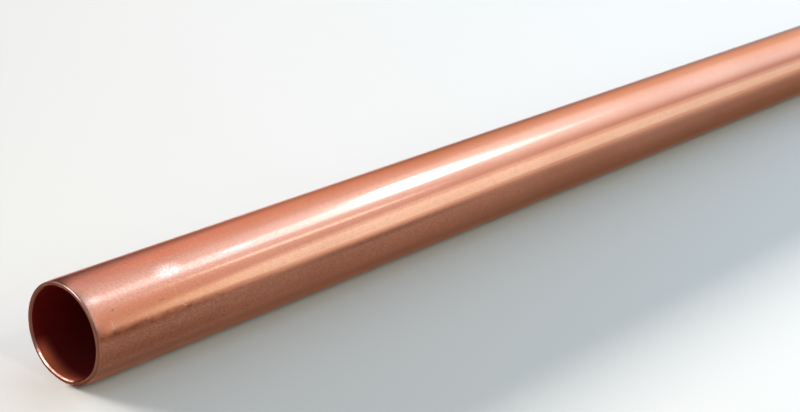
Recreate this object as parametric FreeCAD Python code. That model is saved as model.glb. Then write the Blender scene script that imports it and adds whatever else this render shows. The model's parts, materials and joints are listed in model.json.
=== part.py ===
# A straight length of hard-drawn copper water pipe, 22 mm outside diameter with a 1 mm wall.
# It lies on a level floor with its axis along X, and the origin is on the floor under its middle.
# It is one seamless tube. Both ends are cut square and dressed: the cutter has rolled the outer
# edge to a small radius, and a reamer has bevelled the edge of the bore at 45 degrees.
import FreeCAD, Part

import os
from math import cos, pi
from FreeCAD import Vector

# Driving dimensions, in millimetres.
outside_diameter = 22.0
wall = 1.0
length = 1000.0
outer_edge_radius = 0.25
bore_bevel = 0.30

# Radii of the wall's two surfaces.
outside_radius = outside_diameter / 2
bore_radius = outside_radius - wall


def section_point(side, inset, radius):
    """A point of the wall's section: side is -1 or 1, and inset is measured in from that cut face."""
    return Vector(side * (length / 2 - inset), 0, radius)


def dressed_end(side):
    """The section's edges over one cut end, from the bore out to the outside surface."""
    bore_lip = section_point(side, bore_bevel, bore_radius)
    face_inner = section_point(side, 0, bore_radius + bore_bevel)
    face_outer = section_point(side, 0, outside_radius - outer_edge_radius)
    round_drop = outer_edge_radius * (1 - cos(pi / 4))
    round_middle = section_point(side, round_drop, outside_radius - round_drop)
    outside_start = section_point(side, outer_edge_radius, outside_radius)
    return [
        Part.LineSegment(bore_lip, face_inner).toShape(),
        Part.LineSegment(face_inner, face_outer).toShape(),
        Part.Arc(face_outer, round_middle, outside_start).toShape(),
    ]


def wall_surface(inset, radius):
    """The straight edge of the section along the outside surface or along the bore."""
    start = section_point(-1, inset, radius)
    end = section_point(1, inset, radius)
    return Part.LineSegment(start, end).toShape()


def wall_section():
    """The section through the wall on one side of the axis, which is X itself."""
    outside = wall_surface(outer_edge_radius, outside_radius)
    bore = wall_surface(bore_bevel, bore_radius)
    edges = dressed_end(-1) + [outside] + dressed_end(1) + [bore]
    return Part.Face(Part.Wire(Part.__sortEdges__(edges)))


def copper_pipe():
    """The section turned about the axis, then lifted so that the pipe lies on the floor."""
    pipe = wall_section().revolve(Vector(0, 0, 0), Vector(1, 0, 0), 360)
    pipe.translate(Vector(0, 0, outside_radius))
    return pipe


os.makedirs("parts", exist_ok=True)
pipe = copper_pipe()
pipe.exportStep("parts/copper_pipe.step")
print("copper_pipe:", pipe.ShapeType, "valid" if pipe.isValid() else "not valid", round(pipe.Volume), "mm3")
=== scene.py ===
import json
from math import cos, pi, radians, sin

import bpy
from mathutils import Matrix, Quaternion, Vector


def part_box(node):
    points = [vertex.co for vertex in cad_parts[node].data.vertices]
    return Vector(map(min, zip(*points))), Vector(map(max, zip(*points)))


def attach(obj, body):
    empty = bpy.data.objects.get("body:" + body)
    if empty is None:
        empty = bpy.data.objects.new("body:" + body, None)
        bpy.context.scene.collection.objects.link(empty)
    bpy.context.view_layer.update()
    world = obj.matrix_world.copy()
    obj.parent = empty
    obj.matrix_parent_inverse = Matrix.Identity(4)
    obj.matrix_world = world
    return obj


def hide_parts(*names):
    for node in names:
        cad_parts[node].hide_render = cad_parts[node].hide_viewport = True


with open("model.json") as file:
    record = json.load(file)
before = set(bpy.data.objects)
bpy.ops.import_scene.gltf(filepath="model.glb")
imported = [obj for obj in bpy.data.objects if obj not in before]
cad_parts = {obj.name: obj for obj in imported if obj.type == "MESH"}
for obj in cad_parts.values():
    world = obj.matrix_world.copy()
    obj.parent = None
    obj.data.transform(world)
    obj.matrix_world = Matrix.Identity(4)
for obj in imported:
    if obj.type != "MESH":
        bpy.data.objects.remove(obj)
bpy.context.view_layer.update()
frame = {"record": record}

MM = 0.001

# The pipe's sizes, from the frame's box and its mounts.
pipe_low, pipe_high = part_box("copper_pipe")
mounts = {mount["name"]: mount for mount in frame["record"]["mounts"]}
outside_radius = mounts["near_end_outside"]["dims"]["r_mm"] * MM
bore_radius = mounts["near_end_bore"]["dims"]["r_mm"] * MM
length = pipe_high.x - pipe_low.x
near_end = Vector((pipe_low.x, 0, outside_radius))

# The dressed ends, as the tube cutter and the reamer leave them.
outer_edge_radius = 0.25 * MM
bore_bevel = 0.30 * MM

# The cutter turns the wall in a little at each end. The near end has been knocked from below, and the knock
# spreads that many degrees to each side.
roll_in_run = 2.6 * MM
roll_in_depth = 0.14 * MM
knock_run = 4.5 * MM
knock_depth = 0.45 * MM
knock_spread = 55

# Sides of the pipe, in degrees up from its front: where the near end is knocked, where light is painted on
# the bore's bevel and just inside its mouth, and where a glint is painted on the rolled edge.
knocked_side = -80
painted_light_side = -116
painted_glint_side = 68

# The slight waver of a drawn tube: how fast it changes along each metre and round the pipe, and how deep.
waver_rate = 7.0
waver_rate_round = 0.9
waver_depth = 0.05 * MM
waver_seed = 3.0

# How finely the pipe is meshed, the bluntest edge that stays sharp, and the smallest distance that counts.
sides_round_pipe = 192
ring_spacing = 6 * MM
ring_crowding = 1.6
edge_round_steps = 6
sharp_from_degrees = 30
hair = 0.02 * MM

# The camera: where it stands from the near end's centre, and which way it looks.
photo_width = 800
focal_length_px = 1576
film_width_mm = 36
camera_heading = 40.18
camera_dip = 18.29
camera_from_near_end = Vector((-174.69, -233.85, 120.52)) * MM


def fill(tree, node, inputs):
    """Gives each named input of a node its value or its link."""
    for name, value in inputs.items():
        if isinstance(value, bpy.types.NodeSocket):
            tree.links.new(value, node.inputs[name])
        else:
            node.inputs[name].default_value = value


def add(tree, kind, inputs=None, **settings):
    """A new node, with its settings and its inputs filled."""
    node = tree.nodes.new(kind)
    for name, value in settings.items():
        setattr(node, name, value)
    fill(tree, node, inputs or {})
    return node


def calculate(tree, operation, *values, clamp=False):
    """The result of one sum on numbers or sockets."""
    inputs = dict(enumerate(values))
    node = add(tree, "ShaderNodeMath", inputs, operation=operation, use_clamp=clamp)
    return node.outputs[0]


def chained(tree, operation, values):
    """The same sum carried on from each number to the next."""
    result = values[0]
    for value in values[1:]:
        result = calculate(tree, operation, result, value)
    return result


def sum_of(tree, *values):
    """Several numbers added up."""
    return chained(tree, "ADD", values)


def product(tree, *values):
    """Several numbers multiplied together."""
    return chained(tree, "MULTIPLY", values)


def largest(tree, *values):
    """The largest of several numbers."""
    return chained(tree, "MAXIMUM", values)


def with_vectors(tree, operation, *vectors, **named):
    """The result of one sum on vectors: a number where the sum measures, else a vector."""
    inputs = {**dict(enumerate(vectors)), **named}
    node = add(tree, "ShaderNodeVectorMath", inputs, operation=operation)
    measures = operation in ("LENGTH", "DISTANCE", "DOT_PRODUCT")
    return node.outputs["Value" if measures else "Vector"]


def combined(tree, **parts):
    """A vector put together from the parts that are named."""
    return add(tree, "ShaderNodeCombineXYZ", parts).outputs["Vector"]


def split(tree, vector):
    """The X, Y and Z of a vector."""
    return add(tree, "ShaderNodeSeparateXYZ", {"Vector": vector}).outputs


def lean(tree, direction, towards):
    """How far a direction leans towards another one: 1 along it, 0 across it."""
    return with_vectors(tree, "DOT_PRODUCT", direction, towards)


def ramp(tree, value, start, end, low=0.0, high=1.0, smooth=True):
    """The value carried from start..end to low..high, and held level past both."""
    inputs = {"Value": value, "From Min": start, "From Max": end, "To Min": low, "To Max": high}
    kind = "SMOOTHSTEP" if smooth else "LINEAR"
    return add(tree, "ShaderNodeMapRange", inputs, interpolation_type=kind).outputs["Result"]


def choose(tree, test, if_true, if_false, kind="FLOAT"):
    """One of two values in a geometry tree."""
    inputs = {"Switch": test, "False": if_false, "True": if_true}
    return add(tree, "GeometryNodeSwitch", inputs, input_type=kind).outputs["Output"]


def named_inputs(tree, sizes):
    """The tree's own sockets: one for each named size or finish, and its result."""
    kinds = {float: "NodeSocketFloat", int: "NodeSocketInt", bpy.types.Material: "NodeSocketMaterial"}
    for name, value in sizes.items():
        socket = tree.interface.new_socket(name=name, in_out="INPUT", socket_type=kinds[type(value)])
        if not isinstance(value, bpy.types.Material):
            socket.default_value = value
    tree.interface.new_socket(name="Geometry", in_out="OUTPUT", socket_type="NodeSocketGeometry")
    return tree.nodes.new("NodeGroupInput").outputs


def here(tree):
    """The position of each point of a shape."""
    return add(tree, "GeometryNodeInputPosition").outputs["Position"]


def round_axis(degrees):
    """The direction square to the pipe's axis, that many degrees up from the front."""
    return Vector((0, -cos(radians(degrees)), sin(radians(degrees))))


def from_axis(tree, position, outside):
    """How far a point is from the pipe's axis, across and up."""
    place = split(tree, position)
    return combined(tree, Y=place["Y"], Z=calculate(tree, "SUBTRACT", place["Z"], outside))


def to_nearer_end(tree, along, half):
    """How far a point is from the nearer end of a pipe with that half length."""
    return calculate(tree, "SUBTRACT", half, calculate(tree, "ABSOLUTE", along))


def wall_section(tree, size):
    """The closed section of the wall: its length along Y, and the outside surface at the higher X."""
    thickness = calculate(tree, "SUBTRACT", size["Outside Radius"], size["Bore Radius"])
    inputs = {"Width": thickness, "Height": size["Length"]}
    block = add(tree, "GeometryNodeCurvePrimitiveQuadrilateral", inputs)
    outside = calculate(tree, "GREATER_THAN", split(tree, here(tree))["X"], 0.0)
    cut_back = choose(tree, outside, size["Edge Radius"], size["Bore Bevel"])
    steps = choose(tree, outside, size["Edge Steps"], 1, kind="INT")
    inputs = {"Curve": block.outputs["Curve"], "Count": steps, "Radius": cut_back}
    return add(tree, "GeometryNodeFilletCurve", inputs, mode="POLY").outputs["Curve"]


def rings_along(tree, section, size):
    """The section with points added along its long sides, one for each ring, closest near the ends."""
    index = add(tree, "GeometryNodeInputIndex").outputs[0]
    following = add(tree, "GeometryNodeOffsetPointInCurve", {"Point Index": index, "Offset": 1})
    inputs = {"Value": here(tree), "Index": following.outputs["Point Index"]}
    there = add(tree, "GeometryNodeFieldAtIndex", inputs, data_type="FLOAT_VECTOR", domain="POINT")
    run = with_vectors(tree, "DISTANCE", here(tree), there.outputs["Value"])
    cuts = calculate(tree, "FLOOR", calculate(tree, "DIVIDE", run, size["Ring Spacing"]))
    ringed = add(tree, "GeometryNodeSubdivideCurve", {"Curve": section, "Cuts": cuts}).outputs["Curve"]

    place = split(tree, here(tree))
    half = product(tree, size["Length"], 0.5)
    plain_run = calculate(tree, "SUBTRACT", half, size["Bore Bevel"])
    to_end = to_nearer_end(tree, place["Y"], half)
    past_dressing = calculate(tree, "SUBTRACT", to_end, size["Bore Bevel"])
    share = largest(tree, calculate(tree, "DIVIDE", past_dressing, plain_run), 0.0)
    crowded = product(tree, calculate(tree, "POWER", share, size["Ring Crowding"]), plain_run)
    from_middle = calculate(tree, "SUBTRACT", plain_run, crowded)
    along = product(tree, from_middle, calculate(tree, "SIGN", place["Y"]))
    moved = combined(tree, X=place["X"], Y=along)
    on_long_side = calculate(tree, "GREATER_THAN", past_dressing, hair)
    inputs = {"Geometry": ringed, "Selection": on_long_side, "Position": moved}
    return add(tree, "GeometryNodeSetPosition", inputs).outputs["Geometry"]


def carried_round(tree, section, size):
    """The section carried round the pipe's axis, with that axis laid along X above the floor."""
    middle = product(tree, sum_of(tree, size["Outside Radius"], size["Bore Radius"]), 0.5)
    path = add(tree, "GeometryNodeCurvePrimitiveCircle", {"Resolution": size["Sides"], "Radius": middle})
    inputs = {"Curve": path.outputs["Curve"], "Profile Curve": section}
    tube = add(tree, "GeometryNodeCurveToMesh", inputs)
    lift = combined(tree, Z=size["Outside Radius"])
    quarter_turn = (0, pi / 2, 0)
    inputs = {"Geometry": tube.outputs["Mesh"], "Translation": lift, "Rotation": quarter_turn}
    return add(tree, "GeometryNodeTransform", inputs).outputs["Geometry"]


def depth_near_end(tree, to_end, run, depth):
    """An inward depth that is greatest at the cut and fades to nothing over the run."""
    left = calculate(tree, "SUBTRACT", 1.0, calculate(tree, "DIVIDE", to_end, run), clamp=True)
    return product(tree, left, left, depth)


def depth_of_knock(tree, outward, along, to_end, size):
    """How far the near end is knocked in on its underside."""
    towards_knock = lean(tree, outward, round_axis(knocked_side))
    within_knock = ramp(tree, towards_knock, cos(radians(knock_spread)), 1.0)
    in_near_half = calculate(tree, "LESS_THAN", along, 0.0)
    depth = depth_near_end(tree, to_end, size["Knock Run"], size["Knock Depth"])
    return product(tree, depth, within_knock, in_near_half)


def depth_of_waver(tree, outward, along, size):
    """How far the drawing die has wavered: slowly along the pipe, and not the same all round it."""
    round_pipe = with_vectors(tree, "SCALE", outward, Scale=size["Waver Rate Round"])
    along_pipe = combined(tree, X=product(tree, along, size["Waver Rate"]))
    where = with_vectors(tree, "ADD", round_pipe, along_pipe)
    inputs = {"Vector": where, "W": size["Waver Seed"], "Scale": 1.0, "Detail": 1.0, "Roughness": 0.3}
    waver = add(tree, "ShaderNodeTexNoise", inputs, noise_dimensions="4D").outputs[0]
    return product(tree, waver, size["Waver Depth"])


def with_clean_place(tree, tube):
    """The tube, and the place that each of its points has before the ends are worked."""
    memory = tree.nodes.new("GeometryNodeCaptureAttribute")
    memory.capture_items.new("VECTOR", "Clean Place")
    fill(tree, memory, {"Geometry": tube, "Clean Place": here(tree)})
    return memory.outputs["Geometry"], memory.outputs["Clean Place"]


def worked_ends(tree, tube, size):
    """The tube with its ends turned in by the cutter, a knocked edge, and the slight waver of drawing."""
    along = split(tree, here(tree))["X"]
    outward = with_vectors(tree, "NORMALIZE", from_axis(tree, here(tree), size["Outside Radius"]))
    half = product(tree, size["Length"], 0.5)
    to_end = to_nearer_end(tree, along, half)
    rolled = depth_near_end(tree, to_end, size["Roll Run"], size["Roll Depth"])
    knocked = depth_of_knock(tree, outward, along, to_end, size)
    wavered = depth_of_waver(tree, outward, along, size)
    inward = sum_of(tree, rolled, knocked, wavered)
    offset = with_vectors(tree, "SCALE", outward, Scale=product(tree, inward, -1.0))
    return add(tree, "GeometryNodeSetPosition", {"Geometry": tube, "Offset": offset}).outputs["Geometry"]


def finished(tree, tube, clean_place, size):
    """The tube with the drawn outside, the cut faces, the burnished edges and the bore told apart."""
    radius = with_vectors(tree, "LENGTH", from_axis(tree, clean_place, size["Outside Radius"]))
    half = product(tree, size["Length"], 0.5)
    to_end = to_nearer_end(tree, split(tree, clean_place)["X"], half)
    plain_bore = sum_of(tree, size["Bore Radius"], hair)
    bevelled = sum_of(tree, size["Bore Radius"], size["Bore Bevel"])
    rounded = calculate(tree, "SUBTRACT", size["Outside Radius"], size["Edge Radius"])
    at_cut = calculate(tree, "LESS_THAN", to_end, size["Edge Radius"])
    on_bevel = calculate(tree, "LESS_THAN", radius, bevelled)
    on_edge = calculate(tree, "GREATER_THAN", radius, rounded)
    burnished = product(tree, at_cut, largest(tree, on_bevel, on_edge))
    in_bore = calculate(tree, "LESS_THAN", radius, plain_bore)
    result = tube
    for finish, where in (("Drawn", True), ("Cut", at_cut), ("Burnished", burnished), ("Bore", in_bore)):
        inputs = {"Geometry": result, "Selection": where, "Material": size[finish + " Finish"]}
        result = add(tree, "GeometryNodeSetMaterial", inputs).outputs["Geometry"]
    return result


def pipe_tree(sizes):
    """The whole pipe by rule: section, rings, revolve, the small forms of its ends and its finishes."""
    tree = bpy.data.node_groups.new("pipe_from_wall_section", "GeometryNodeTree")
    size = named_inputs(tree, sizes)
    section = rings_along(tree, wall_section(tree, size), size)
    tube = carried_round(tree, section, size)
    edge_angle = add(tree, "GeometryNodeInputMeshEdgeAngle").outputs["Unsigned Angle"]
    gentle = calculate(tree, "LESS_THAN", edge_angle, radians(sharp_from_degrees))
    inputs = {"Geometry": tube, "Shade Smooth": gentle}
    smooth = add(tree, "GeometryNodeSetShadeSmooth", inputs, domain="EDGE").outputs["Geometry"]
    clean_tube, clean_place = with_clean_place(tree, smooth)
    worked = worked_ends(tree, clean_tube, size)
    whole = add(tree, "GeometryNodeRealizeInstances", {"Geometry": worked}).outputs["Geometry"]
    add(tree, "NodeGroupOutput", {"Geometry": finished(tree, whole, clean_place, size)})
    return tree


def copper_pipe():
    """The pipe as one closed mesh in place of the frame's plainer one."""
    sizes = {
        "Outside Radius": outside_radius,
        "Bore Radius": bore_radius,
        "Length": length,
        "Edge Radius": outer_edge_radius,
        "Bore Bevel": bore_bevel,
        "Edge Steps": edge_round_steps,
        "Ring Spacing": ring_spacing,
        "Ring Crowding": ring_crowding,
        "Sides": sides_round_pipe,
        "Roll Run": roll_in_run,
        "Roll Depth": roll_in_depth,
        "Knock Run": knock_run,
        "Knock Depth": knock_depth,
        "Waver Rate": waver_rate,
        "Waver Rate Round": waver_rate_round,
        "Waver Depth": waver_depth,
        "Waver Seed": waver_seed,
        "Drawn Finish": drawn_copper(),
        "Cut Finish": cut_copper(),
        "Burnished Finish": burnished_copper_with_painted_glints(),
        "Bore Finish": bore_copper(),
    }
    blank = bpy.data.objects.new("pipe_blank", bpy.data.meshes.new("pipe_blank"))
    bpy.context.scene.collection.objects.link(blank)
    rule = blank.modifiers.new("pipe_from_wall_section", "NODES")
    rule.node_group = pipe_tree(sizes)
    for item in rule.node_group.interface.items_tree:
        if item.in_out == "INPUT":
            rule[item.identifier] = sizes[item.name]
    evaluated = blank.evaluated_get(bpy.context.evaluated_depsgraph_get())
    mesh = bpy.data.meshes.new_from_object(evaluated)
    mesh.name = "drawn_pipe"
    bpy.data.objects.remove(blank)
    pipe = bpy.data.objects.new("drawn_pipe", mesh)
    bpy.context.scene.collection.objects.link(pipe)
    return pipe


def new_finish(name):
    """A material with its tree and its shader."""
    material = bpy.data.materials.new(name)
    material.use_nodes = True
    tree = material.node_tree
    return material, tree, tree.nodes["Principled BSDF"]


def on_object(tree):
    """The place of each point in the object's own coordinates."""
    return add(tree, "ShaderNodeTexCoord").outputs["Object"]


def mix(tree, share, low, high):
    """A colour between two others."""
    # The node has sockets of its own for colours: the seventh and eighth inputs, and the third output.
    return add(tree, "ShaderNodeMix", {0: share, 6: low, 7: high}, data_type="RGBA").outputs[2]


def grain(tree, coordinates, per_metre, stretch=(1, 1, 1), detail=2.0, roughness=0.5, seed=0.0):
    """Even noise of that fineness, finer across than along where it is stretched."""
    inputs = {"Vector": coordinates, "Scale": stretch}
    pulled = add(tree, "ShaderNodeMapping", inputs).outputs["Vector"]
    inputs = {"Vector": pulled, "Scale": per_metre, "Detail": detail, "Roughness": roughness, "W": seed}
    return add(tree, "ShaderNodeTexNoise", inputs, noise_dimensions="4D").outputs[0]


def place_on_outside(tree, coordinates):
    """Where a point lies on the outside: millimetres from the near end, and degrees up from the front."""
    place = split(tree, coordinates)
    from_near_end = calculate(tree, "MULTIPLY_ADD", place["X"], 1 / MM, -near_end.x / MM)
    height = calculate(tree, "SUBTRACT", place["Z"], outside_radius)
    front = product(tree, place["Y"], -1.0)
    up_from_front = calculate(tree, "DEGREES", calculate(tree, "ARCTAN2", height, front))
    return from_near_end, up_from_front


def patch(tree, place, middle, size, soft=1.0):
    """1 in the middle of an oval patch, falling to 0 at its edge: millimetres along, degrees round."""
    along = calculate(tree, "DIVIDE", calculate(tree, "SUBTRACT", place[0], middle[0]), size[0])
    round_pipe = calculate(tree, "DIVIDE", calculate(tree, "SUBTRACT", place[1], middle[1]), size[1])
    away = with_vectors(tree, "LENGTH", combined(tree, X=along, Y=round_pipe))
    return ramp(tree, away, 1.0 - soft, 1.0, 1.0, 0.0)


def stained(tree, place, colour, stain, share, middle, size):
    """The colour with an oval stain over it, which covers that share of it in its middle."""
    return mix(tree, product(tree, patch(tree, place, middle, size), share), colour, stain)


def scratch(tree, place, start, end, width):
    """1 along a straight scratch of that width in millimetres, 0 off it."""
    mm_per_degree = outside_radius / MM * pi / 180
    run = Vector((end[0] - start[0], (end[1] - start[1]) * mm_per_degree))
    along = calculate(tree, "SUBTRACT", place[0], start[0])
    round_pipe = product(tree, calculate(tree, "SUBTRACT", place[1], start[1]), mm_per_degree)
    from_start = combined(tree, X=along, Y=round_pipe)
    direction = run.normalized()
    half_run = run.length / 2
    lengthwise = lean(tree, from_start, (direction.x, direction.y, 0))
    sideways = lean(tree, from_start, (-direction.y, direction.x, 0))
    from_middle = calculate(tree, "ABSOLUTE", calculate(tree, "SUBTRACT", lengthwise, half_run))
    inside = ramp(tree, from_middle, half_run - width, half_run + width, 1.0, 0.0)
    across = ramp(tree, calculate(tree, "ABSOLUTE", sideways), 0.0, width, 1.0, 0.0)
    return product(tree, inside, across)


def rubbed_and_glint_patches(tree, place):
    """Where the near end has been rubbed and glints are painted: at its edge, where the cutter's wheel
    rested, and farther on.
    """
    at_edge = product(tree, patch(tree, place, (1.5, 50), (4, 9)), 0.3)
    at_wheel = patch(tree, place, (22, 54), (5, 13))
    farther = product(tree, patch(tree, place, (41, 51), (7, 4)), 0.6)
    return largest(tree, at_edge, at_wheel, farther)


def dark_specks(tree, place):
    """The few dark specks by the near end."""
    return largest(
        tree,
        patch(tree, place, (17.3, 25.7), (1.3, 1.6)),
        patch(tree, place, (4.3, 11.0), (0.5, 4.0)),
        patch(tree, place, (5.4, 33.0), (0.5, 2.5)),
        patch(tree, place, (23.7, 8.5), (0.9, 3.0)),
        patch(tree, place, (63.5, -28.0), (0.6, 2.0)),
    )


def light_scratches(tree, place):
    """The short light scratches by the near end, and the ring that the cutter's wheel left."""
    return largest(
        tree,
        scratch(tree, place, (20.3, 20.3), (22.8, 11.0), 0.22),
        product(tree, scratch(tree, place, (21.6, 66.0), (21.2, 26.0), 0.35), 0.12),
        product(tree, scratch(tree, place, (4.2, 23.0), (4.3, 14.0), 0.16), 0.8),
        patch(tree, place, (3.3, -25.0), (0.5, 2.5)),
    )


def bare_copper(tree, clouds, mottle):
    """The bare colour: pale and brown clouds with a redder mottle."""
    pale = (0.655, 0.266, 0.165, 1)
    brown = (0.60, 0.232, 0.140, 1)
    red_brown = (0.52, 0.18, 0.11, 1)
    colour = mix(tree, ramp(tree, clouds, 0.35, 0.65), pale, brown)
    return mix(tree, ramp(tree, mottle, 0.45, 0.75, 0.0, 0.25), colour, red_brown)


def bloomed_with_painted_shade(tree, coordinates, from_near_end, height, near, colour):
    """The colour under a fine brown bloom and a little dirt; the bloom lies thicker on the lower half as
    painted shade, and the dirt keeps below the middle.
    """
    bloom_brown = (0.47, 0.155, 0.09, 1)
    dirt_brown = (0.24, 0.10, 0.06, 1)
    bloom = grain(tree, coordinates, 2900, stretch=(0.6, 1, 1), detail=2.0, roughness=0.6, seed=10.0)
    dirt = grain(tree, coordinates, 150, stretch=(0.35, 1, 1), detail=4.0, roughness=0.6, seed=11.0)
    # Painted shade: more bloom below the axis darkens the lower half.
    bloom_and_painted_shade_below = ramp(tree, height, 11.5 * MM, 13 * MM, 0.72, 0.22)
    thinner_far_off = ramp(tree, from_near_end, 60.0, 170.0, 1.0, 0.6)
    share = sum_of(tree, product(tree, bloom_and_painted_shade_below, thinner_far_off), product(tree, near, 0.3))
    colour = mix(tree, product(tree, ramp(tree, bloom, 0.35, 0.65), share), colour, bloom_brown)
    below_middle = ramp(tree, height, 12.5 * MM, 11.5 * MM)
    dirty = product(tree, ramp(tree, dirt, 0.47, 0.68), 0.1, below_middle)
    return mix(tree, dirty, colour, dirt_brown)


def greyer_far_with_painted_shade_low(tree, from_near_end, height, colour):
    """The colour greyer far along the pipe, and darker and greener low down beyond the near end as painted
    shade.
    """
    grey = (0.44, 0.265, 0.22, 1)
    painted_shade_green = (0.12, 0.17, 0.12, 1)
    colour = mix(tree, ramp(tree, from_near_end, 110.0, 260.0, 0.0, 0.3), colour, grey)
    painted_shade_low = ramp(tree, height, 10 * MM, 7.5 * MM, 0.0, 0.22)
    beyond_near_end = ramp(tree, from_near_end, 60.0, 160.0)
    return mix(tree, product(tree, painted_shade_low, beyond_near_end), colour, painted_shade_green)


def stained_on_top(tree, place, colour):
    """The colour with the dull stains along the top and by the mouth, and the pale scuff beside them."""
    dull_brown = (0.36, 0.185, 0.145, 1)
    greyed = (0.52, 0.31, 0.27, 1)
    mouth_brown = (0.36, 0.20, 0.17, 1)
    scuffed = (0.85, 0.50, 0.42, 1)
    colour = stained(tree, place, colour, dull_brown, 0.4, middle=(140, 85), size=(100, 16))
    colour = stained(tree, place, colour, greyed, 0.45, middle=(35, 91), size=(85, 13))
    colour = stained(tree, place, colour, mouth_brown, 0.45, middle=(2, 77), size=(18, 15))
    return stained(tree, place, colour, scuffed, 0.5, middle=(4, 96), size=(40, 13))


def painted_highlight_along_front(tree, place, colour):
    """The colour with a painted highlight along the front, a lighter line, thin at first and broad farther
    on.
    """
    # Painted highlight: lighter copper along the lower edge of the reflected band.
    rubbed = (0.95, 0.42, 0.26, 1)
    near_line = patch(tree, place, (85, 12.5), (65, 3.5))
    far_line = patch(tree, place, (260, 7), (130, 8))
    return mix(tree, product(tree, largest(tree, near_line, far_line), 0.4), colour, rubbed)


def painted_shade_and_light_below(tree, height, colour):
    """The colour greyer under the front as painted shade, and paler along the bottom as painted reflection.
    """
    grey = (0.33, 0.37, 0.35, 1)
    pale = (0.86, 0.66, 0.58, 1)
    # Painted shade: grey under the front.
    colour = mix(tree, ramp(tree, height, 7.6 * MM, 5.0 * MM, 0.0, 0.30), colour, grey)
    # Painted reflection: pale along the bottom.
    return mix(tree, ramp(tree, height, 5.5 * MM, 2.2 * MM, 0.0, 0.7), colour, pale)


def warmed_with_painted_shade(tree, place, colour):
    """The colour warmer by the near end, and with painted shade: dark brown farther along the front, and
    orange along the far top edge.
    """
    orange_brown = (0.62, 0.185, 0.08, 1)
    painted_shade_brown = (0.52, 0.17, 0.085, 1)
    orange = (0.85, 0.24, 0.10, 1)
    colour = stained(tree, place, colour, orange_brown, 0.6, middle=(14, 22), size=(46, 24))
    # Painted shade: darker brown beside the highlight, farther along.
    colour = stained(tree, place, colour, painted_shade_brown, 0.42, middle=(190, 36), size=(120, 22))
    # Painted shade: warmer and less blue along the far top edge.
    return stained(tree, place, colour, orange, 0.5, middle=(230, 99), size=(120, 10))


def painted_shade_near_end(tree, place, mottle, colour):
    """The colour with painted shade, dark brown and broken up by the mottle, on the front of the near end,
    and fainter below and beyond it.
    """
    # Painted shade: the dark band the shadowed floor would throw into the pipe.
    dark_brown = (0.20, 0.053, 0.025, 1)
    at_end = patch(tree, place, (4, 9.2), (56, 8.2))
    below = product(tree, patch(tree, place, (10, -15), (50, 11)), 0.28)
    beyond = product(tree, patch(tree, place, (84, 5), (50, 5)), 0.5)
    broken_up = ramp(tree, mottle, 0.3, 0.7, 0.62, 1.0)
    return mix(tree, product(tree, largest(tree, at_end, below, beyond), broken_up), colour, dark_brown)


def marked(tree, specks, scratches, rubs_with_painted_glints, colour):
    """The colour with the specks, the scratches, and the rubbed patches lightened as painted glints, over
    it.
    """
    dark = (0.14, 0.05, 0.035, 1)
    light = (0.92, 0.62, 0.48, 1)
    # Painted glints: the rubbed patches are lightened where glints fall.
    rubbed = (0.95, 0.58, 0.44, 1)
    colour = mix(tree, product(tree, specks, 0.5), colour, dark)
    colour = mix(tree, product(tree, scratches, 0.35), colour, light)
    return mix(tree, product(tree, rubs_with_painted_glints, 0.7), colour, rubbed)


def drawn_roughness(tree, mottle, clouds, turned_lines, near, top_near, marks):
    """How rough the outside is: smooth as drawn, and duller at the near end and at its marks."""
    as_drawn = ramp(tree, mottle, 0.3, 0.7, 0.13, 0.15)
    duller = product(tree, near, ramp(tree, clouds, 0.3, 0.7, 0.02, 0.08))
    scuffed = product(tree, top_near, ramp(tree, turned_lines, 0.45, 0.7, 0.0, 0.10))
    return sum_of(tree, as_drawn, duller, scuffed, product(tree, marks, 0.2))


def drawn_relief(tree, mottle, pits, draw_lines, turned_lines, near, top_near, rubs_with_painted_glints):
    """The finest forms, in millimetres: lines along the pipe, and more of a grain at its near end."""
    mottled = product(tree, mottle, ramp(tree, near, 0, 1, 0.0006, 0.0014))
    pitted = product(tree, pits, ramp(tree, near, 0, 1, 0.0003, 0.0014))
    lined = product(tree, draw_lines, 0.0016)
    turned = product(tree, turned_lines, top_near, 0.002)
    height = sum_of(tree, mottled, pitted, lined, turned, product(tree, rubs_with_painted_glints, 0.02))
    inputs = {"Height": height, "Strength": 1.0, "Distance": MM}
    return add(tree, "ShaderNodeBump", inputs).outputs["Normal"]


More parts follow.
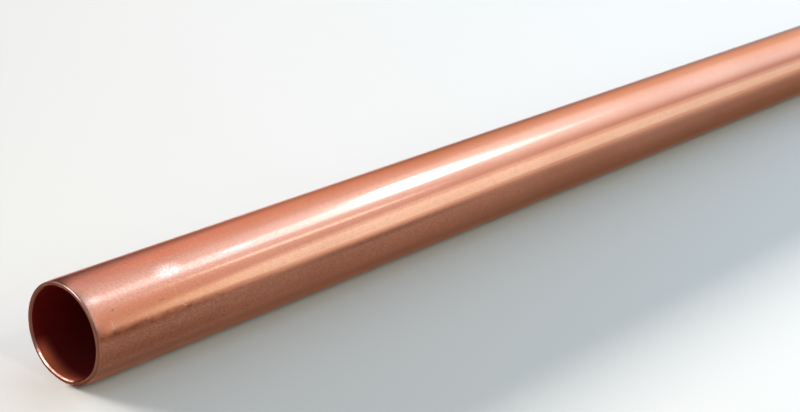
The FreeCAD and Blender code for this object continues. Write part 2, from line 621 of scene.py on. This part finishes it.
def drawn_copper():
    """The outside as the drawing die leaves it, with fine draw lines, marks and a scuffed near end, and with
    painted shade, highlights and glints in its colour.
    """
    material, tree, shader = new_finish("drawn_copper")
    coordinates = on_object(tree)
    height = split(tree, coordinates)["Z"]
    place = place_on_outside(tree, coordinates)
    from_near_end = place[0]
    near = ramp(tree, from_near_end, 12.0, 50.0, 1.0, 0.0)
    top_near = product(tree, near, patch(tree, place, (10, 70), (60, 45), soft=0.6))

    clouds = grain(tree, coordinates, 60, stretch=(0.4, 1, 1), detail=3.0, seed=1.0)
    mottle = grain(tree, coordinates, 900, stretch=(0.7, 1, 1), detail=3.0, roughness=0.6, seed=2.0)
    pits = grain(tree, coordinates, 2600, detail=1.0, seed=3.0)
    draw_lines = grain(tree, coordinates, 1500, stretch=(0.004, 1, 1), detail=2.0, roughness=0.6, seed=4.0)
    turned_lines = grain(tree, coordinates, 1800, stretch=(1, 0.06, 0.06), detail=2.0, seed=5.0)
    specks = dark_specks(tree, place)
    scratches = light_scratches(tree, place)
    rubs_with_painted_glints = product(tree, ramp(tree, pits, 0.25, 0.6), rubbed_and_glint_patches(tree, place))

    # Beside the real stains and marks, this colour carries painted shade, highlights and glints.
    colour = bare_copper(tree, clouds, mottle)
    colour = bloomed_with_painted_shade(tree, coordinates, from_near_end, height, near, colour)
    colour = greyer_far_with_painted_shade_low(tree, from_near_end, height, colour)
    colour = stained_on_top(tree, place, colour)
    colour = painted_highlight_along_front(tree, place, colour)
    colour = painted_shade_and_light_below(tree, height, colour)
    colour = warmed_with_painted_shade(tree, place, colour)
    colour = painted_shade_near_end(tree, place, mottle, colour)
    colour = marked(tree, specks, scratches, rubs_with_painted_glints, colour)

    marks = largest(tree, specks, scratches)
    roughness = drawn_roughness(tree, mottle, clouds, turned_lines, near, top_near, marks)
    relief = drawn_relief(tree, mottle, pits, draw_lines, turned_lines, near, top_near, rubs_with_painted_glints)
    looks = {"Base Color": colour, "Roughness": roughness, "Normal": relief}
    fill(tree, shader, {**looks, "Metallic": 1, "Specular Tint": (0.92, 0.47, 0.34, 1)})
    return material


def cut_copper():
    """The flat of the cut, darkened to brown as painted shade."""
    material, tree, shader = new_finish("cut_copper")
    # Painted shade: the cut is made much darker than bare copper.
    brown = (0.21, 0.085, 0.058, 1)
    dark_brown = (0.13, 0.055, 0.040, 1)
    stain = grain(tree, on_object(tree), 350, detail=3.0, seed=6.0)
    colour = mix(tree, ramp(tree, stain, 0.35, 0.7), brown, dark_brown)
    looks = {"Base Color": colour, "Roughness": 0.32}
    fill(tree, shader, {**looks, "Metallic": 1, "Specular Tint": (0.4, 0.25, 0.2, 1)})
    return material


def lean_to_painted_light_side(tree, across):
    """How nearly a point lies on the side where light is painted on the bevel and in the bore: 1 there, on
    the wall of the bore.
    """
    return lean(tree, across, round_axis(painted_light_side) / bore_radius)


def burnished_copper_with_painted_glints():
    """The bore's bevel and the rolled edge, both dark, with painted glints: on the bevel's one side only,
    and on the edge by its top only.
    """
    material, tree, shader = new_finish("burnished_copper_with_painted_glints")
    coordinates = on_object(tree)
    chatter = grain(tree, coordinates, 700, detail=3.0, seed=9.0)
    across = from_axis(tree, coordinates, outside_radius)

    # Painted glint: the bevel is bright only on the side where light falls, and dull elsewhere.
    bright = (0.44, 0.21, 0.15, 1)
    chattered = (0.20, 0.09, 0.065, 1)
    dull_bevel = (0.15, 0.062, 0.045, 1)
    reamed_and_painted_light = mix(tree, ramp(tree, chatter, 0.4, 0.65), bright, chattered)
    bevel = mix(tree, ramp(tree, lean_to_painted_light_side(tree, across), 0.60, 0.93), dull_bevel, reamed_and_painted_light)

    # Painted glint: the rolled edge is dark, and bright only by its top.
    dull_edge = (0.16, 0.072, 0.053, 1)
    painted_glint_edge = (0.50, 0.25, 0.18, 1)
    by_top = lean(tree, across, round_axis(painted_glint_side) / outside_radius)
    edge = mix(tree, ramp(tree, by_top, 0.94, 0.98), dull_edge, painted_glint_edge)

    mid_wall = (outside_radius + bore_radius) / 2
    blend = 0.05 * MM
    radius = with_vectors(tree, "LENGTH", across)
    on_edge = ramp(tree, radius, mid_wall - blend, mid_wall + blend)
    bevel_roughness = ramp(tree, chatter, 0.35, 0.7, 0.18, 0.28)
    roughness = calculate(tree, "MULTIPLY_ADD", on_edge, 0.18, bevel_roughness)
    looks = {"Base Color": mix(tree, on_edge, bevel, edge), "Roughness": roughness}
    fill(tree, shader, {**looks, "Metallic": 1, "Specular Tint": (0.6, 0.38, 0.30, 1)})
    return material


def bore_copper():
    """The inside: dull and dark red, and brighter near the mouth on one side only, as painted light on the
    reamed band.
    """
    material, tree, shader = new_finish("bore_copper")
    coordinates = on_object(tree)
    bloom = grain(tree, coordinates, 240, stretch=(0.5, 1, 1), detail=3.0, seed=7.0)
    dark_red = (0.23, 0.010, 0.008, 1)
    darker_red = (0.18, 0.007, 0.006, 1)
    dull = mix(tree, ramp(tree, bloom, 0.3, 0.7), dark_red, darker_red)

    # Painted light: a bright red crescent near the mouth, only on the side where light falls into the bore.
    reamed_painted_light_red = (0.98, 0.25, 0.11, 1)
    to_end = to_nearer_end(tree, split(tree, coordinates)["X"], length / 2)
    ragged = calculate(tree, "MULTIPLY_ADD", calculate(tree, "SUBTRACT", bloom, 0.5), 2.0 * MM, to_end)
    near_mouth = ramp(tree, ragged, 0.8 * MM, 4.4 * MM, 1.0, 0.0)
    pressed = lean_to_painted_light_side(tree, from_axis(tree, coordinates, outside_radius))
    reamed_and_painted_light = product(tree, near_mouth, ramp(tree, pressed, 0.68, 0.95))
    looks = {"Base Color": mix(tree, reamed_and_painted_light, dull, reamed_painted_light_red), "Metallic": 0.6}
    fill(tree, shader, {**looks, "Roughness": ramp(tree, bloom, 0.3, 0.7, 0.40, 0.50)})
    return material


def pale_floor():
    """The floor that the pipe lies on."""
    half_side = 6.0
    signs = ((-1, -1), (1, -1), (1, 1), (-1, 1))
    corners = [(x * half_side, y * half_side, 0) for x, y in signs]
    mesh = bpy.data.meshes.new("floor")
    mesh.from_pydata(corners, [], [(0, 1, 2, 3)])
    floor = bpy.data.objects.new("floor", mesh)
    bpy.context.scene.collection.objects.link(floor)
    material, tree, shader = new_finish("pale_floor")
    fill(tree, shader, {"Base Color": (0.430, 0.388, 0.335, 1), "Roughness": 0.5})
    mesh.materials.append(material)


def heading(azimuth, elevation):
    """The unit direction at that turn from the pipe's far way and that height above the level."""
    turn, rise = radians(azimuth), radians(elevation)
    return Vector((cos(turn) * cos(rise), sin(turn) * cos(rise), sin(rise)))


def tent_level(tree, lit_side, beyond, upward, low_left):
    """How bright the tent is: most on its lit side, less overhead and low on the left, some in front."""
    overhead = ramp(tree, upward, 0.82, 0.95, 1, 0.25)
    high_up = product(tree, ramp(tree, upward, 0, 0.5, 0.65, 1.1), overhead)
    level = product(tree, ramp(tree, lit_side, 0, 1, 0.14, 1, smooth=False), high_up)
    level = product(tree, level, calculate(tree, "SUBTRACT", 1.0, low_left))
    behind_camera = ramp(tree, beyond, -0.1, -0.5, 0, 0.4)
    return sum_of(tree, level, behind_camera)


def tent_colour(tree, leftward, beyond, low_left):
    """The tent's own colour: a little blue, warmer on the left, and warmer and dimmer lowest there."""
    near_left = product(tree, leftward, ramp(tree, beyond, 0.56, 0.74, 0.16, 0.0))
    warmth = sum_of(tree, 1.0, near_left, product(tree, low_left, 0.2))
    lowest = product(tree, low_left, low_left)
    red = calculate(tree, "MULTIPLY_ADD", lowest, -0.35, warmth)
    green = calculate(tree, "MULTIPLY_ADD", lowest, -0.55, 1.07)
    blue = calculate(tree, "MULTIPLY_ADD", lowest, -0.75, 1.19)
    return combined(tree, X=red, Y=green, Z=blue)


def tent_glow(tree, direction, right, beyond, beyond_pipe, upward):
    """The cool glows on the tent: high beyond the far end, along a slanting strip, and in an arch."""
    far_glow = ramp(tree, lean(tree, direction, heading(-2, 33)), 0.90, 0.995, 0, 1.4)
    across_strip = lean(tree, direction, (0.306, -0.796, -0.523))
    off_strip = calculate(tree, "ABSOLUTE", sum_of(tree, across_strip, 0.04))
    strip_glow = product(tree, ramp(tree, off_strip, 0.05, 0.54, 0.86, 0), beyond_pipe)
    off_arch = calculate(tree, "ABSOLUTE", calculate(tree, "SUBTRACT", beyond, 0.37))
    arch_side = product(tree, right, ramp(tree, upward, 0.15, 0.3))
    arch_glow = product(tree, ramp(tree, off_arch, 0.04, 0.13, 0.8, 0), arch_side)
    return largest(tree, far_glow, strip_glow, arch_glow)


def studio_tent():
    """The soft light from all round: bright beyond the pipe's far end and on the right, dim elsewhere."""
    world = bpy.data.worlds.new("studio_tent")
    bpy.context.scene.world = world
    world.use_nodes = True
    tree = world.node_tree
    direction = add(tree, "ShaderNodeTexCoord").outputs["Generated"]
    beyond = lean(tree, direction, heading(0, 0))
    upward = lean(tree, direction, heading(0, 90))
    beyond_pipe = ramp(tree, beyond, 0.26, 0.48)
    right = ramp(tree, lean(tree, direction, heading(-40, 0)), -0.12, 0.09)
    leftward = ramp(tree, lean(tree, direction, heading(90, 0)), 0.15, 0.4)
    far_left = product(tree, leftward, ramp(tree, beyond, 0.62, 0.80))
    low_left = product(tree, far_left, ramp(tree, upward, 0.02, 0.36, 0.85, 0))

    level = tent_level(tree, product(tree, right, beyond_pipe), beyond, upward, low_left)
    plain = with_vectors(tree, "SCALE", tent_colour(tree, leftward, beyond, low_left), Scale=level)
    glow = tent_glow(tree, direction, right, beyond, beyond_pipe, upward)
    cool = with_vectors(tree, "SCALE", (0.42, 1, 1.52), Scale=glow)
    fill(tree, tree.nodes["Background"], {"Color": with_vectors(tree, "ADD", plain, cool)})


def softbox(name, towards, distance, size, brightness, colour, roll=0):
    """An oval lamp in that direction from the shown stretch, with a face of that size and brightness."""
    width, height = size
    lit_stretch = near_end + Vector((100 * MM, 0, 0))
    lamp = bpy.data.lights.new(name, "AREA")
    lamp.shape = "ELLIPSE"
    lamp.size = width
    lamp.size_y = height
    lamp.energy = brightness * width * height * pi * pi / 4
    lamp.color = colour
    box = bpy.data.objects.new(name, lamp)
    box.location = lit_stretch + towards * distance
    facing = towards.to_track_quat("Z", "Y") @ Quaternion((0, 0, 1), radians(roll))
    box.rotation_euler = facing.to_euler()
    bpy.context.scene.collection.objects.link(box)
    return box


def studio_lamps():
    """The lamps whose reflections lie along the pipe, and those that shape its shadow and its end."""
    cool = (0.55, 1, 1.6)
    softbox("overhead_core", heading(-7, 42), 1.5, (0.50, 0.15), brightness=5, colour=cool, roll=15)
    softbox("overhead_strip", heading(-19, 47), 1.5, (0.34, 0.85), brightness=1.45, colour=cool, roll=43)
    pale_cool = (0.58, 1.03, 1.14)
    softbox("thin_strip", heading(-37, 34), 1.8, (0.13, 0.36), brightness=1.6, colour=pale_cool, roll=53)
    # This colour looks golden where the copper reflects it.
    golden = (0.57, 1.04, 1.14)
    softbox("low_front", heading(-39.5, 2.7), 1.6, (1.07, 0.78), brightness=0.67, colour=golden, roll=-8)
    softbox("low_front_haze", heading(-38, 2.7), 1.7, (1.14, 1.16), brightness=0.68, colour=golden, roll=-8)
    softbox("mouth_light", heading(-103, 40), 1.2, (0.16, 0.16), brightness=55, colour=(1, 1, 0.95))
    rim = softbox("rim_light", heading(153, 39.5), 1.4, (3.3, 0.62), brightness=9, colour=(0.88, 1, 1.12))
    rim.visible_diffuse = False
    key = softbox("back_left", heading(96, 15.5), 8, (5, 1.0), brightness=246, colour=(1, 1.03, 1.11))
    front_fill = softbox("front_fill", heading(-78, 24), 2, (1.2, 0.8), brightness=10, colour=(0.84, 1, 1.0))
    for unreflected in (key, front_fill):
        unreflected.visible_glossy = False
        unreflected.visible_camera = False


def camera():
    """The camera at the photograph's viewing angle, level, with its axis through the picture's middle."""
    lens = bpy.data.cameras.new("camera")
    lens.sensor_fit = "HORIZONTAL"
    lens.sensor_width = film_width_mm
    lens.lens = focal_length_px * film_width_mm / photo_width
    lens.clip_start = 0.01
    view = bpy.data.objects.new("camera", lens)
    view.location = near_end + camera_from_near_end
    view.rotation_euler = (radians(90 - camera_dip), 0, radians(camera_heading - 90))
    bpy.context.scene.collection.objects.link(view)
    bpy.context.scene.camera = view


bpy.context.scene.view_settings.view_transform = "Standard"
camera()
pale_floor()
studio_tent()
studio_lamps()

pipe = copper_pipe()
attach(pipe, "root")
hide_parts("copper_pipe")
